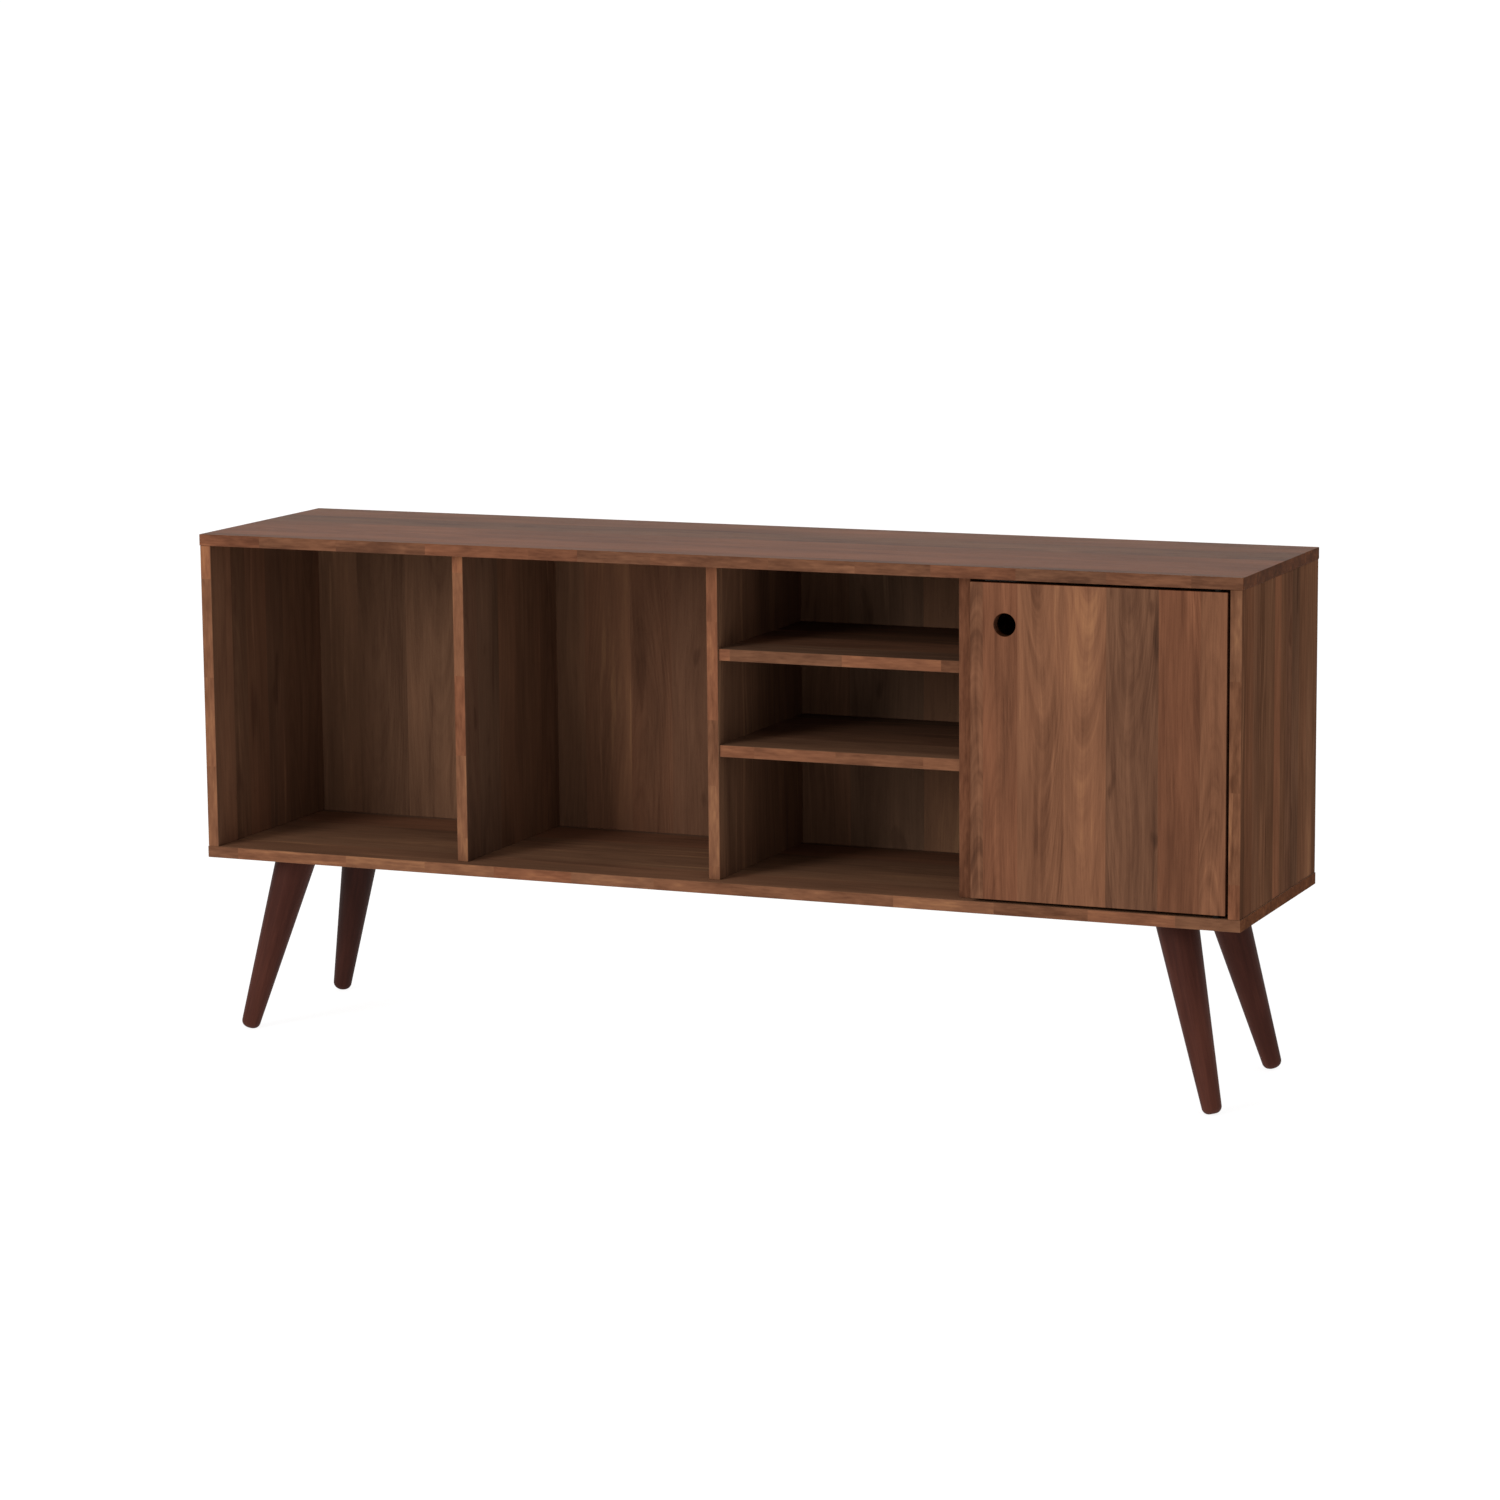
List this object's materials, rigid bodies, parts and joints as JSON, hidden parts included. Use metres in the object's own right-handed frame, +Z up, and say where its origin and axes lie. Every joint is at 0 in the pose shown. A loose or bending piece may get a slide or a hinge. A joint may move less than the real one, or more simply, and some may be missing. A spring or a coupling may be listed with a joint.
{
  "type": "sideboard buffet",
  "caption": "Low wooden sideboard with open bays, a shelved bay and a cupboard with an inset finger-hole door, on splayed tapered legs.",
  "frame": {"origin": "on the floor, under the middle of the cabinet", "axes": "+X along the width to the door's end, -Y to the front, +Z up"},
  "size_m": [1.5, 0.347, 0.7015],
  "materials": {
    "walnut_board": "satin lacquer, grain along the length, segmented edge staves",
    "walnut_upright": "satin lacquer, grain upright",
    "walnut_door": "satin lacquer, grain upright, wide figured staves",
    "walnut_back": "satin veneer",
    "leg_wood": "dark red-brown stain, satin",
    "dowel_beech": "raw",
    "zinc_steel": "zinc plated",
    "pivot_brass": "brushed",
    "bush_nylon": "black nylon",
    "catch_plastic": "dark brown moulded",
    "magnet": "sintered ferrite"
  },
  "bodies": {
    "cabinet": {"top_panel": "walnut_board", "bottom_panel": "walnut_board", "upper_shelf": "walnut_board", "lower_shelf": "walnut_board", "cupboard_shelf": "walnut_board", "left_side_panel": "walnut_upright", "right_side_panel": "walnut_upright", "left_divider": "walnut_upright", "middle_divider": "walnut_upright", "right_divider": "walnut_upright", "back_panel": "walnut_back", "front_left_leg": "leg_wood", "front_right_leg": "leg_wood", "back_left_leg": "leg_wood", "back_right_leg": "leg_wood", "hanger_bolts": "zinc_steel", "threaded_inserts": "pivot_brass", "corner_dowels": "dowel_beech", "divider_dowels": "dowel_beech", "shelf_dowels": "dowel_beech", "back_panel_screws": "zinc_steel", "shelf_pins": "zinc_steel", "catch_housing": "catch_plastic", "catch_magnet": "magnet", "catch_poles": "zinc_steel", "catch_screws": "zinc_steel", "lower_pivot_bush": "bush_nylon", "upper_pivot_bush": "bush_nylon"},
    "door": {"door_panel": "walnut_door", "lower_pivot_plate": "pivot_brass", "upper_pivot_plate": "pivot_brass", "lower_pivot_pin": "zinc_steel", "upper_pivot_pin": "zinc_steel", "pivot_plate_screws": "zinc_steel", "strike_plate": "zinc_steel", "strike_screws": "zinc_steel"}
  },
  "joints": [
    {"name": "door_hinge", "type": "hinge", "parent": "cabinet", "child": "door", "pos_m": [0.7155, -0.1655, 0.47425], "axis": [0, 0, 1], "range_deg": [0, 105]}
  ]
}
